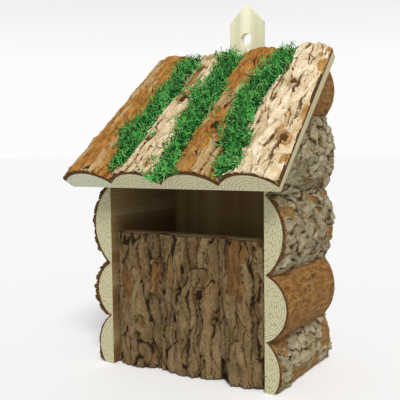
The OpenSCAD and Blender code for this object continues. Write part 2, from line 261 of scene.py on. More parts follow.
wallSettings = {
    "edge": 1.5 * mm, "footCut": 6 * mm, "roofGap": 0.2 * mm, "barkLift": 1 * mm,
    "right": (10.5 * mm, 15 * mm, 13 * mm, 14 * mm, 13.5 * mm),
    "left": (12 * mm, 12.5 * mm, 14.5 * mm, 13 * mm, 13.5 * mm),
    "thinning": 5.5 * mm, "mostThinning": 0.4, "pithDepth": 0.5, "pithRaise": 1.5 * mm,
}


def wallLog(side, number):
    low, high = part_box(f"{side}_log_{number}")
    bottom = low.z - (wallSettings["footCut"] if number == 1 else 0)
    half = (high.z - bottom) / 2
    mid = (high.z + bottom) / 2
    inner = low.x if side == "right" else high.x
    out = xAxis if side == "right" else -xAxis
    bulge = wallSettings[side][number - 1]
    log = halfLog(Vector((inner, wallLow.y, 0)), zAxis, out, yAxis, (mid, mid), (half, half),
                  bulge, wallSettings["edge"], wallHigh.y - wallLow.y)
    rise = bulge - wallSettings["edge"]
    drop = min(wallSettings["thinning"], wallSettings["mostThinning"] * rise)
    front = log["radius"][0]
    rear = arcRadius(half, rise - drop)
    log["radius"] = (front, rear)
    log["centre"] = (bulge - front, bulge - drop - rear)
    log["lean"] = math.atan2(rear - front + drop, log["length"])
    return log


wallLow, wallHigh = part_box("right_log_1")

# The roof's own frame: origin at the front edge of its underside, along runs up the slope
roofCorners = [v.co.copy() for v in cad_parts["roof_slab_2"].data.vertices]
roofFoot = min(roofCorners, key=lambda c: c.z)
roofTop = max(roofCorners, key=lambda c: c.y)
roofOrigin = Vector((0, roofFoot.y, roofFoot.z))
roofPitch = math.atan2(roofTop.z - roofFoot.z, roofTop.y - roofFoot.y)
roofAlong = Vector((0, math.cos(roofPitch), math.sin(roofPitch)))
roofOut = Vector((0, -math.sin(roofPitch), math.cos(roofPitch)))
roofLength = (Vector((0, roofTop.y, roofTop.z)) - roofOrigin).length

roofSettings = {
    "frontWidths": (41 * mm, 40 * mm, 42 * mm), "rearWidths": (40 * mm, 36 * mm, 38 * mm),
    "taper": 15 * mm, "rightTaper": 3 * mm, "thickness": 13 * mm, "edge": 3.5 * mm, "thinning": 2 * mm,
    "wane": 5 * mm, "waneHeight": 8 * mm, "bark": 2.5 * mm, "pithAside": 2 * mm, "pithDepth": 0.3,
}


def roofSeams():
    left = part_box("roof_slab_2")[0].x - roofSettings["frontWidths"][0]
    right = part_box("roof_slab_4")[1].x
    front = [left]
    rear = [left + roofSettings["taper"]]
    for index in range(3):
        front.append(front[-1] + roofSettings["frontWidths"][index])
        rear.append(rear[-1] + roofSettings["rearWidths"][index])
    return front + [right], rear + [right - roofSettings["rightTaper"]]


frontSeams, rearSeams = roofSeams()


def roofLog(number):
    mid = []
    half = []
    for seams in (frontSeams, rearSeams):
        mid.append((seams[number - 1] + seams[number]) / 2)
        half.append((seams[number] - seams[number - 1]) / 2)
    return halfLog(roofOrigin, xAxis, roofOut, roofAlong, mid, half, roofSettings["thickness"],
                   roofSettings["edge"], roofLength, roofSettings["thinning"])


frontSettings = {"edge": 9 * mm}


def frontLog(number):
    low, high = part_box(f"front_slab_{number}")
    mid = (low.x + high.x) / 2
    half = (high.x - low.x) / 2
    return halfLog(Vector((0, high.y, low.z)), xAxis, -yAxis, zAxis, (mid, mid), (half, half),
                   high.y - low.y, frontSettings["edge"], high.z - low.z)


# Bark relief

knotSettings = {
    "squeeze": 0.72, "wobble": 0.3, "wobbleWave": 2.2, "swell": (2, 0.8), "heart": (0.85, 0.5),
    "ringAt": 1.15, "ringWidth": 0.2, "ringDepth": 0.8,
}


def knotEffect(knots, across, along):
    # Each knot: place across and along the log, radius, all in millimetres
    settings = knotSettings
    wobbleSize = settings["wobbleWave"]
    swell = ring = heart = 0.0
    for x, y, size in knots:
        reach = math.hypot((across - x), (along - y) * settings["squeeze"]) / size
        reach += settings["wobble"] * noise.noise(Vector((across / wobbleSize, along / wobbleSize, x)))
        if reach < settings["swell"][0]:
            swell += ease(*settings["swell"], reach)
            near = clamp(1 - abs(reach - settings["ringAt"]) / settings["ringWidth"])
            ring = max(ring, near * settings["ringDepth"])
            heart = max(heart, ease(*settings["heart"], reach))
    return swell, ring, heart


# Length of each wave across and along the log in millimetres, and what sets it apart from the others
reliefWaves = {
    "ripple": (2.1, 3.2, 0), "drift": (1.7, 2.6, 4), "slit": (4, 5, 17), "splitReach": (5, 9, 14),
    "grit": (0.9, 1.3, 21), "speck": (1.3, 2.1, 51), "speckPatch": (9, 9, 55),
}


def wave(kind, seed, across, along):
    acrossSize, alongSize, shift = reliefWaves[kind]
    return noise.noise(Vector((across / acrossSize, along / alongSize, seed + shift)))


# What is drawn once for each plate
plateDraws = {
    "height": (41.3, (0, 0, 0)), "wear": (23.9, (5.5, 1.5, 2.5)),
    "tiltAcross": (31.1, (0.5, 9.5, 0)), "tiltAlong": (37.7, (3.5, 0.5, 8)),
}


def plateDraw(kind, centre):
    factor, shift = plateDraws[kind]
    return noise.cell(centre * factor + Vector(shift))


plateSettings = {
    "bendWave": (9, 15), "bendShift": (9.1, 3.7, 0), "ripple": 0.9, "drift": 1.5,
    "seedSteps": (13, 7, 0.25), "least": 0.01, "seamWave": 5, "seamShift": 8, "seamFade": (0.35, 0.2),
    "slit": (0.75, 0.8), "leastSlit": 0.12, "seamDepth": 1.35, "marginLeast": 0.4,
}


def bentPlace(looks, across, along):
    # The place in the pattern, bent so that no plate has a straight side
    settings = plateSettings
    seed = looks["seed"]
    acrossSize, alongSize = settings["bendWave"]
    bend = Vector((across / acrossSize, along / alongSize, seed))
    a = across + looks["warp"] * noise.noise(bend) + settings["ripple"] * wave("ripple", seed, across, along)
    s = along + 2 * looks["warp"] * noise.noise(bend + Vector(settings["bendShift"]))
    return a, s + settings["drift"] * wave("drift", seed, across, along)


def nearestPlate(looks, a, s):
    # The plate's centre, how far off it the place is, and how far from the seam in millimetres
    settings = plateSettings
    seed = looks["seed"]
    width = looks["width"]
    length = looks["length"]
    acrossStep, alongStep, depthStep = settings["seedSteps"]
    spot = Vector((a / width + seed * acrossStep, s / length + seed * alongStep, depthStep * math.sin(seed)))
    distances, points = noise.voronoi(spot)
    apart = points[1] - points[0]
    stretch = math.hypot(apart.x * width, apart.y * length)
    stretch /= max(math.hypot(apart.x, apart.y), settings["least"])
    return points[0], spot - points[0], (distances[1] - distances[0]) * stretch / 2


def plateSeam(looks, across, along, gap):
    # How deep a seam is at this distance from it, and how worn the plate's margin is
    settings = plateSettings
    seed = looks["seed"]
    run = Vector((across / settings["seamWave"], along / looks["run"], seed + settings["seamShift"]))
    before, after = settings["seamFade"]
    present = ease(looks["gaps"] - before, looks["gaps"] + after, noise.noise(run))
    least, more = settings["slit"]
    slit = looks["crackWidth"] * (least + more * wave("slit", seed, across, along))
    seam = clamp(settings["seamDepth"] - gap / max(slit, settings["leastSlit"])) * present
    return seam, clamp(1 - gap / looks["margin"]) * between(settings["marginLeast"], 1, present)


scaleSettings = {"shift": 61, "noise": (0.75, 2.1, 3), "plateSteps": 2, "foot": 0.88, "footWidth": 0.09}


def thinScales(looks, a, s, height):
    # The scales lie in steps on each plate: the step's height, and the line of painted shade at its foot
    settings = scaleSettings
    length = looks["scale"] * looks["drawn"]
    spot = Vector((a / looks["scale"], s / length, looks["seed"] + settings["shift"]))
    layer = noise.fractal(spot, *settings["noise"]) * looks["steps"] + height * settings["plateSteps"]
    tread = math.floor(layer)
    part = layer - tread
    foot = clamp(1 - abs(part - settings["foot"]) / settings["footWidth"])
    return tread + ease(settings["foot"], 1, part), foot


splitSettings = {
    "shift": 11, "reach": (0.55, 0.9), "leastReach": 0.008, "depth": 1.3,
    "ridgeWidth": 0.3, "ridgeCurve": 0.6,
}


def longSplit(looks, a, across, along):
    # A split along the grain, and the ridge beside it
    settings = splitSettings
    seed = looks["seed"]
    spot = Vector((a / looks["splitWidth"], along / looks["splitLength"], seed + settings["shift"]))
    line = abs(noise.noise(spot))
    least, more = settings["reach"]
    reach = looks["splitEdge"] * (least + more * wave("splitReach", seed, across, along))
    split = clamp(settings["depth"] - line / max(reach, settings["leastReach"])) * looks["splits"]
    return split, clamp(line / settings["ridgeWidth"]) ** settings["ridgeCurve"] * looks["ridges"]


coverSettings = {
    "fineWave": (3.2, 7.5, 2), "fineNoise": (0.7, 2.1, 4), "fieldWave": (13, 26, 31),
    "fieldNoise": (0.8, 2, 4), "field": 0.6, "wear": 0.4, "fine": 0.1, "patchFade": (1.3, 0.4),
    "patchSqueeze": 0.6, "edge": (0.45, 0.55),
}


def barkCover(looks, across, along, wear):
    # Where the outer bark is left, with the fine and the broad noise that the relief uses again
    settings = coverSettings
    seed = looks["seed"]
    acrossSize, alongSize, shift = settings["fineWave"]
    fineSpot = Vector((across / acrossSize, along / alongSize, seed + shift))
    fine = noise.fractal(fineSpot, *settings["fineNoise"])
    acrossSize, alongSize, shift = settings["fieldWave"]
    fieldSpot = Vector((across / acrossSize + seed, along / alongSize, seed + shift))
    field = noise.fractal(fieldSpot, *settings["fieldNoise"])
    cover = looks["cover"] + settings["field"] * field + settings["wear"] * wear + settings["fine"] * fine
    for x, y, size, amount in looks["patches"]:
        reach = math.hypot(across - x, (along - y) * settings["patchSqueeze"]) / size
        cover += amount * ease(*settings["patchFade"], reach)
    return cover, fine, field


reliefSettings = {
    "plateLeast": 0.35, "plateMore": 0.45, "bareSteps": 0.25, "grit": 0.09, "rimAt": 0.46, "rimWidth": 0.035,
    "rim": 0.75, "knotSwell": 0.9, "knotRing": 0.8, "knotHeart": 0.8, "knotRingDark": 0.75, "knotBare": 0.85,
    "speckPatches": 0.5, "speckFade": (0.4, 0.6), "shadePlate": 0.5, "shadeFine": 0.4, "shadeField": 0.3,
    "shadeGrit": 0.15, "shadeMargin": 0.4, "ridgeLightAndShade": 0.25,
}


def barkRelief(looks, across, along):
    # Millimetres in; lift, flake, crack and shade out
    settings = reliefSettings
    seed = looks["seed"]
    a, s = bentPlace(looks, across, along)
    centre, offset, gap = nearestPlate(looks, a, s)
    height = 0.5 + 0.5 * plateDraw("height", centre)
    seam, margin = plateSeam(looks, across, along, gap)
    terrace, foot = thinScales(looks, a, s, height)
    split, ridge = longSplit(looks, a, across, along)
    cover, fine, field = barkCover(looks, across, along, 0.5 * plateDraw("wear", centre))
    grit = wave("grit", seed, across, along)
    flake = ease(*coverSettings["edge"], cover)
    tilt = plateDraw("tiltAcross", centre) * offset.x + plateDraw("tiltAlong", centre) * offset.y
    plate = settings["plateLeast"] + settings["plateMore"] * height + looks["tilt"] * tilt
    lift = looks["flakeHeight"] * flake * plate
    lift += looks["stepHeight"] * terrace * between(settings["bareSteps"], 1, flake)
    lift += looks["roughness"] * fine + settings["grit"] * grit + ridge - looks["round"] * margin * flake
    opening = max(seam * between(looks["innerSeams"], 1, flake), split)
    lift -= looks["crackDepth"] * opening
    rim = settings["rim"] * clamp(1 - abs(cover - settings["rimAt"]) / settings["rimWidth"])
    # The darkened foot of each scale step is painted shade
    crack = max(opening, looks["stepFootShade"] * foot * flake, rim * looks["rimDark"])
    swell, ring, heart = knotEffect(looks["knots"], across, along)
    lift += settings["knotSwell"] * swell - settings["knotRing"] * ring - settings["knotHeart"] * heart
    crack = max(crack, ring * settings["knotRingDark"], heart)
    flake *= 1 - settings["knotBare"] * clamp(swell)
    speck = wave("speck", seed, across, along)
    speck += settings["speckPatches"] * wave("speckPatch", seed, across, along)
    crack = max(crack, looks["specks"] * ease(*settings["speckFade"], speck))
    shade = 0.5 + settings["shadePlate"] * (height - 0.5) + settings["shadeFine"] * fine
    shade += settings["shadeField"] * field + settings["shadeGrit"] * grit
    shade -= settings["shadeMargin"] * margin * flake
    # Ridge tops are painted lighter and the furrows beside the splits darker: painted highlight and painted
    # shade
    shade += settings["ridgeLightAndShade"] * (ridge - 0.5 * looks["ridges"])
    return lift * mm, flake, crack, clamp(shade)


barkBase = {
    "seed": 1, "warp": 3, "width": 9, "length": 14, "crackWidth": 0.38, "crackDepth": 0.9,
    "gaps": -0.12, "run": 12, "margin": 1.7, "scale": 8, "drawn": 1.8, "steps": 3.2,
    "stepHeight": 0.42, "stepFootShade": 0.5, "rimDark": 0.75, "splits": 0.0, "splitWidth": 7,
    "splitLength": 45, "splitEdge": 0.04, "ridges": 0.0, "cover": 0.9, "flakeHeight": 1.3, "tilt": 0.6,
    "roughness": 0.4, "innerSeams": 0.3, "specks": 0.0, "round": 0.3, "knots": (), "patches": (),
    "step": 0.53, "share": 0.75,
}

barkKinds = {
    "greyPlates": {
        "width": 9, "length": 13, "cover": 0.82, "flakeHeight": 1.2, "warp": 4, "gaps": -0.05,
        "run": 7, "scale": 7.5, "drawn": 1.5, "steps": 3.4, "stepHeight": 0.4, "stepFootShade": 0.85,
        "margin": 1.3, "crackWidth": 0.48, "roughness": 0.3, "share": 0.55,
    },
    "thinPlates": {
        "width": 8, "length": 16, "cover": 0.66, "flakeHeight": 1.0, "warp": 4, "gaps": -0.05,
        "run": 8, "scale": 7, "steps": 3.4, "stepHeight": 0.35, "stepFootShade": 0.85, "margin": 1.3,
        "crackWidth": 0.45, "roughness": 0.3, "share": 0.6,
    },
    "smooth": {
        "width": 14, "length": 30, "cover": -0.1, "flakeHeight": 0.6, "crackDepth": 0.3, "drawn": 4,
        "innerSeams": 0.1, "specks": 0.75, "roughness": 0.35, "stepHeight": 0.15, "steps": 1.5,
        "splits": 0.4, "splitWidth": 9, "splitLength": 60, "splitEdge": 0.025, "share": 1.6,
    },
    "peeled": {
        "width": 6, "length": 40, "cover": 0.24, "flakeHeight": 0.9, "crackDepth": 0.7, "drawn": 5,
        "innerSeams": 0.7, "splits": 0.95, "splitWidth": 5.5, "splitLength": 70, "splitEdge": 0.05,
        "ridges": 0.8, "roughness": 0.7, "share": 0.9, "gaps": 0.0,
    },
    "longPlates": {
        "width": 7, "length": 34, "cover": 0.78, "flakeHeight": 1.3, "drawn": 4, "ridges": 0.4,
        "splits": 0.8, "splitWidth": 7, "splitLength": 70, "crackDepth": 1.0, "margin": 1.1,
        "round": 0.15, "stepHeight": 0.5, "stepFootShade": 0.75, "share": 0.5,
    },
    "broadPlates": {
        "width": 7.5, "length": 34, "warp": 3.2, "cover": 0.9, "flakeHeight": 1.4, "drawn": 4,
        "splits": 0.8, "splitWidth": 7, "splitLength": 70, "splitEdge": 0.045, "crackWidth": 0.45,
        "round": 0.15, "margin": 1.1, "stepHeight": 0.55, "stepFootShade": 0.75, "share": 0.5,
    },
    "furrows": {
        "width": 9, "length": 30, "warp": 3.4, "cover": 0.95, "flakeHeight": 1.5, "drawn": 3,
        "crackWidth": 0.42, "crackDepth": 1.0, "splits": 0.85, "splitWidth": 9, "gaps": 0.0,
        "splitLength": 90, "splitEdge": 0.05, "ridges": 1.0, "roughness": 0.5, "stepHeight": 0.6,
        "round": 0.2, "margin": 1.3, "stepFootShade": 0.7,
    },
}

# The top never comes closer to the wood than leastLift, and the underside is sunk into it
sheetSettings = {"leastLift": 0.35 * mm, "sunk": 0.15 * mm, "seedStep": 0.1}


def barkSheet(name, log, kind, thickness, own=None, startAt=None, trim=None):
    # A closed sheet of bark over the round side of a half log
    looks = {**barkBase, **barkKinds[kind], **(own or {})}
    fullWidth = 2 * log["radius"][0] * math.asin(min(1.0, log["half"][0] / log["radius"][0]))
    columns = round(fullWidth / (looks["step"] * mm))
    rows = round(log["length"] / (looks["step"] * mm))
    bm = bmesh.new()
    for key in ("flake", "crack", "shade"):
        bm.verts.layers.float.new(key)
    bm.verts.layers.float_vector.new("barkPlace")
    layers = bm.verts.layers.float
    place = bm.verts.layers.float_vector["barkPlace"]
    bmesh.ops.create_grid(bm, x_segments=columns, y_segments=rows, size=0.5)
    made = bmesh.ops.extrude_face_region(bm, geom=bm.faces[:], use_keep_orig=True)["geom"]
    upper = set(v for v in made if isinstance(v, bmesh.types.BMVert))
    for vert in bm.verts:
        u = 2 * vert.co.x
        v = vert.co.y + 0.5
        before = log["length"] * v
        if vert in upper:
            arc = onLog(log, u, before, thickness)[2]
            lift, flake, crack, shade = barkRelief(looks, arc / mm, before / mm)
            lift = max(thickness * looks["share"] + lift, sheetSettings["leastLift"])
            vert[layers["flake"]] = flake
            vert[layers["crack"]] = crack
            vert[layers["shade"]] = shade
        else:
            arc = onLog(log, u, before, 0)[2]
            lift = -sheetSettings["sunk"]
        side, height = onLog(log, u, before, lift)[:2]
        first = startAt(side) if startAt else 0
        s = between(first, log["length"], v)
        if trim:
            side = trim(side, height, s)
        vert[place] = Vector((arc, s, looks["seed"] * sheetSettings["seedStep"]))
        vert.co = logPoint(log, side, height, s)
    bmesh.ops.recalc_face_normals(bm, faces=bm.faces[:])
    for face in bm.faces:
        onTop = all(vert in upper for vert in face.verts)
        face.material_index = 0 if onTop else 1
        face.smooth = onTop
    mesh = bpy.data.meshes.new(name)
    bm.to_mesh(mesh)
    bm.free()
    return newObject(name, mesh)


# Bark materials

barkLooks = {
    "greyBark": {
        "outerLight": (0.46, 0.41, 0.27), "outerDark": (0.17, 0.13, 0.065),
        "innerLight": (0.3, 0.17, 0.05), "innerDark": (0.12, 0.055, 0.014),
        "crack": (0.05, 0.03, 0.012), "bare": 0.2,
    },
    "redBark": {
        "outerLight": (0.3, 0.2, 0.09), "outerDark": (0.14, 0.075, 0.025),
        "innerLight": (0.34, 0.17, 0.045), "innerDark": (0.1, 0.037, 0.006),
        "crack": (0.03, 0.013, 0.003), "bare": 0.35,
    },
    "orangeBark": {
        "outerLight": (0.56, 0.4, 0.2), "outerDark": (0.3, 0.17, 0.06),
        "innerLight": (0.5, 0.24, 0.05), "innerDark": (0.15, 0.05, 0.008),
        "crack": (0.045, 0.018, 0.004), "bare": 0.2,
    },
    "brownBark": {
        "outerLight": (0.26, 0.17, 0.08), "outerDark": (0.09, 0.05, 0.02),
        "innerLight": (0.25, 0.12, 0.04), "innerDark": (0.08, 0.035, 0.011),
        "crack": (0.025, 0.013, 0.005), "bare": 0.3,
    },
    "creamBark": {
        "outerLight": (0.9, 0.81, 0.6), "outerDark": (0.5, 0.35, 0.17),
        "innerLight": (0.5, 0.28, 0.09), "innerDark": (0.27, 0.12, 0.025),
        "crack": (0.09, 0.04, 0.012), "bare": 0.35,
    },
    "tanBark": {
        "outerLight": (0.86, 0.75, 0.52), "outerDark": (0.4, 0.26, 0.11),
        "innerLight": (0.45, 0.24, 0.075), "innerDark": (0.2, 0.085, 0.018),
        "crack": (0.055, 0.025, 0.008), "bare": 0.3,
    },
    "furrowedBark": {
        "outerLight": (0.235, 0.165, 0.078), "outerDark": (0.075, 0.045, 0.016),
        "innerLight": (0.19, 0.095, 0.03), "innerDark": (0.065, 0.03, 0.008),
        "crack": (0.016, 0.008, 0.003), "bare": 0.3,
    },
}


barkPattern = {
    "roughness": 0.85, "drawnOut": 0.3, "streaks": (340, 6, 0.75), "streakFade": (0.36, 0.64),
    "grit": (900, 3, 0.65), "gritFade": (0.58, 0.36), "gritShare": 0.45, "rust": (130, 3, 0.6),
    "rustFade": (0.55, 0.7), "rustShare": 0.5, "bareFrom": 0.6, "crackFade": (0.15, 0.8),
    "bump": (0.45, 0.6 * mm),
}


def barkMaterial(name):
    looks = barkLooks[name]
    pattern = barkPattern
    material, tree, shader = startMaterial(name, pattern["roughness"])
    place = addNode(tree, "ShaderNodeAttribute", {"attribute_name": "barkPlace"}).outputs["Vector"]
    flake, crack, shade = (addNode(tree, "ShaderNodeAttribute", {"attribute_name": key}).outputs["Fac"]
                           for key in ("flake", "crack", "shade"))
    inputs = {"Vector": place, "Scale": (1, pattern["drawnOut"], 1)}
    drawn = addNode(tree, "ShaderNodeMapping", {}, inputs).outputs[0]
    streaks = spread(tree, blotches(tree, drawn, *pattern["streaks"]), *pattern["streakFade"])
    grit = blotches(tree, place, *pattern["grit"])
    gritShare = spread(tree, grit, *pattern["gritFade"], 0, pattern["gritShare"])
    rust = blotches(tree, drawn, *pattern["rust"])
    rustShare = spread(tree, rust, *pattern["rustFade"], 0, pattern["rustShare"])
    bare = spread(tree, shade, pattern["bareFrom"], 1, 0, looks["bare"])
    outer = mixTones(tree, shade, looks["outerDark"], looks["outerLight"])
    outer = mixTones(tree, gritShare, outer, looks["outerDark"])
    outer = mixTones(tree, rustShare, outer, looks["innerLight"])
    inner = mixTones(tree, streaks, looks["innerDark"], looks["innerLight"])
    inner = mixTones(tree, bare, inner, looks["outerLight"])
    body = mixTones(tree, flake, inner, outer)
    body = mixTones(tree, spread(tree, crack, *pattern["crackFade"]), body, looks["crack"])
    tree.links.new(body, shader.inputs["Base Color"])
    rough = addNode(tree, "ShaderNodeMath", {"operation": "ADD"}, {0: grit, 1: streaks}).outputs[0]
    addBump(tree, shader, rough, *pattern["bump"])
    return material


edgeLooks = {
    "light": (0.13, 0.06, 0.018), "dark": (0.035, 0.015, 0.005), "roughness": 0.88,
    "grit": (700, 3, 0.6), "gritFade": (0.35, 0.65), "bump": (0.5, 0.6 * mm),
}


def edgeMaterial(name, looks):
    # The broken edge of the bark, seen at a log's sawn end
    material, tree, shader = startMaterial(name, looks["roughness"])
    coords = addNode(tree, "ShaderNodeTexCoord").outputs["Object"]
    grit = blotches(tree, coords, *looks["grit"])
    body = mixTones(tree, spread(tree, grit, *looks["gritFade"]), looks["dark"], looks["light"])
    tree.links.new(body, shader.inputs["Base Color"])
    addBump(tree, shader, grit, *looks["bump"])
    return material


barks = {name: barkMaterial(name) for name in barkLooks}
barkEdge = edgeMaterial("barkEdge", edgeLooks)


def finishBark(piece, node, material):
    piece.data.materials.append(barks[material])
    piece.data.materials.append(barkEdge)
    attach(piece, "root")
    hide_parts(node)


# The two walls

wallBarks = {
    "right_1": ("thinPlates", "grey_bark", "greyBark", {"seed": 3, "cover": 0.5,
                "patches": ((9, 45, 16, 0.5), (-14, 45, 14, -0.5))}),
    "right_2": ("smooth", "orange_bark", "redBark", {"seed": 5}),
    "right_3": ("greyPlates", "grey_bark", "greyBark", {"seed": 7, "patches": ((10, 4, 10, -0.6),)}),
    "right_4": ("greyPlates", "grey_bark", "greyBark", {"seed": 9, "cover": 0.92, "flakeHeight": 1.3}),
    "right_5": ("smooth", "orange_bark", "redBark", {"seed": 11}),
    "left_1": ("thinPlates", "orange_bark", "redBark", {"seed": 13, "cover": 0.4}),
    "left_2": ("greyPlates", "brown_bark", "brownBark", {"seed": 15, "flakeHeight": 2.2}),
    "left_3": ("thinPlates", "brown_bark", "brownBark", {"seed": 17, "cover": 0.8}),
    "left_4": ("greyPlates", "brown_bark", "brownBark", {"seed": 19}),
    "left_5": ("smooth", "orange_bark", "redBark", {"seed": 21}),
}


def buildWalls():
    for key, (kind, slot, material, own) in wallBarks.items():
        side, number = key.split("_")
        log = wallLog(side, int(number))
        wood = f"{side}_log_{number}"
        bark = f"{side}_bark_{number}"
        if side == "right":
            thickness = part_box(bark)[1].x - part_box(wood)[1].x
        else:
            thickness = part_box(wood)[0].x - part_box(bark)[0].x

        def belowRoof(z):
            under = (z - roofOrigin.z) / math.tan(roofPitch) + roofOrigin.y
            return clamp(under + wallSettings["roofGap"] - log["origin"].y, 0, log["length"])

        def aboveFoot(z, height, s):
            return max(z, wallSettings["barkLift"])

        piece = barkSheet(f"{side}Bark{number}", log, kind, thickness, own, belowRoof, aboveFoot)
        finishBark(piece, bark, material)
        depth = log["centre"][0] * wallSettings["pithDepth"]
        pith = log["origin"] + log["out"] * depth + zAxis * (log["mid"][0] + wallSettings["pithRaise"])
        dress(wood, sawnWood(f"{side}Wood{number}", woodLooks["logs"], pith, yAxis))
    print("walls: ten half logs and their bark")


buildWalls()

# The front

frontBarks = {
    1: {"seed": 31, "cover": 0.85, "patches": ((-4, 60, 9, -0.4),)},
    2: {"seed": 37, "cover": 0.95, "knots": ((11, 55, 3.4),)},
    3: {"seed": 41, "cover": 0.78, "patches": ((2, 75, 12, -0.45), (4, 25, 14, 0.4))},
}


def buildFront():
    for number, own in frontBarks.items():
        log = frontLog(number)
        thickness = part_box(f"front_slab_{number}")[0].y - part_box(f"front_bark_{number}")[0].y
        piece = barkSheet(f"frontBark{number}", log, "furrows", thickness, own)
        finishBark(piece, f"front_bark_{number}", "furrowedBark")
        pith = Vector((log["mid"][0], log["origin"].y, 0))
        wood = sawnWood(f"frontWood{number}", woodLooks["front"], pith, zAxis, upright)
        dress(f"front_slab_{number}", wood)
    print("front: three upright slabs and their bark")


buildFront()

# The roof

roofBarks = {
    1: ("peeled", "orange_bark", "orangeBark", {
        "seed": 51, "patches": ((-17, 25, 12, 0.45), (-17, 95, 12, 0.4))}),
    2: ("longPlates", "cream_bark", "tanBark", {"seed": 57, "knots": ((0, 74, 3.8),)}),
    3: ("peeled", "orange_bark", "orangeBark", {
        "seed": 63, "knots": ((3, 42, 4.6),), "patches": ((4, 72, 9, 0.5), (12, 10, 10, 0.5))}),
    4: ("broadPlates", "cream_bark", "creamBark", {
        "seed": 71, "knots": ((4, 83, 3), (14, 34, 3.2)),
        "patches": ((20, 60, 6, -0.8), (21, 20, 6, -0.8), (18, 104, 6, -0.7))}),
}


def buildRoof():
    settings = roofSettings
    for number, (kind, slot, material, own) in roofBarks.items():
        log = roofLog(number)

        def undercut(side, height, s):
            left = between(frontSeams[0], rearSeams[0], s / roofLength)
            lean = (settings["waneHeight"] - height) * settings["wane"] / settings["waneHeight"]
            return max(side, left + lean)

        piece = barkSheet(f"roofBark{number}", log, kind, settings["bark"], own, None,
                          undercut if number == 1 else None)
        finishBark(piece, f"roof_bark_{number}", material)
        aside = log["mid"][0] + settings["pithAside"]
        pith = logPoint(log, aside, log["centre"][0] * settings["pithDepth"], 0)
        looks = woodLooks["coolRoof" if number == 1 else "roof"]
        turn = math.atan2(log["mid"][1] - log["mid"][0], roofLength)
        wood = sawnWood(f"roofWood{number}", looks, pith, roofAlong, (roofPitch, 0, -turn))
        dress(f"roof_slab_{number}", wood)
    print("roof: four half-log slabs and their bark")


buildRoof()

# Moss

mossSettings = {
    "strands": 2600, "points": 9, "stride": 1.15 * mm, "radius": 0.34 * mm, "spread": 3.7 * mm,
    "wander": ((2, 0, 0), (7, 0, -4), (6, -5, 1)), "sway": 4, "swayScale": 45, "swayStep": 3.3,
    "start": (10 * mm, -2 * mm, 4 * mm), "end": roofLength - 4 * mm, "top": 20 * mm, "bark": 2.2 * mm,
    "clump": (0.5, 0.9), "clumpScale": 80, "clumpStep": (7.7, 4), "clumpWidth": (0.65, 0.85),
    "pile": (2.0, 4.5), "pileWidth": 1.6, "climb": (-0.2, 0.9), "turn": 0.25, "curl": 0.8,
    "thinning": 0.5, "thinningOver": 8 * mm, "leastHeight": 0.1 * mm, "waver": 0.35,
    "climbStep": (-0.7, 0.55), "mostClimb": 1.2, "firstSeed": 100,
    # The dark moss tone is the moss's own dark green, deepened into painted shade between the strands
    "tones": {"mossBright": (0.15, 0.64, 0.13), "mossGreen": (0.04, 0.28, 0.05),
              "mossDarkShade": (0.008, 0.04, 0.008), "mossYellow": (0.42, 0.58, 0.2)},
    "shares": (0.4, 0.29, 0.22, 0.09), "roughness": 0.8, "shadow": 0.5, "patch": (160, 3),
    "patchFade": (0.3, 0.7), "grain": (2500, 2), "bump": (0.3, 0.2 * mm),
}


def mossMaterial(name, tone):
    settings = mossSettings
    material, tree, shader = startMaterial(name, settings["roughness"])
    coords = addNode(tree, "ShaderNodeTexCoord").outputs["Object"]
    patch = spread(tree, blotches(tree, coords, *settings["patch"]), *settings["patchFade"])
    dark = tuple(value * settings["shadow"] for value in tone)
    body = mixTones(tree, patch, dark, tone)
    tree.links.new(body, shader.inputs["Base Color"])
    addBump(tree, shader, blotches(tree, coords, *settings["grain"]), *settings["bump"])
    return material


mossTones = [mossMaterial(name, tone) for name, tone in mossSettings["tones"].items()]
roofLogs = {number: roofLog(number) for number in (1, 2, 3, 4)}


def barkHeight(x, s):
    # Height of the bark above the roof's underside
    share = clamp(s / roofLength)
    best = 0.0
    for log in roofLogs.values():
        mid = between(*log["mid"], share)
        half = between(*log["half"], share)
        if abs(x - mid) <= half:
            radius = log["radius"][0] + mossSettings["bark"]
            best = between(*log["centre"], share) + math.sqrt(max(radius ** 2 - (x - mid) ** 2, 0))
    return best


def mossMiddle(number, s):
    # The middle of a strip wanders off its valley
    settings = mossSettings
    share = clamp(s / roofLength)
    valley = between(frontSeams[number], rearSeams[number], share)
    front, middle, rear = settings["wander"][number - 1]
    if share < 0.5:
        drift = between(front, middle, ease(0, 0.5, share))
    else:
        drift = between(middle, rear, ease(0.5, 1, share))
    sway = noise.noise(Vector((s * settings["swayScale"], number * settings["swayStep"], 0)))
    return valley + (drift + settings["sway"] * sway) * mm


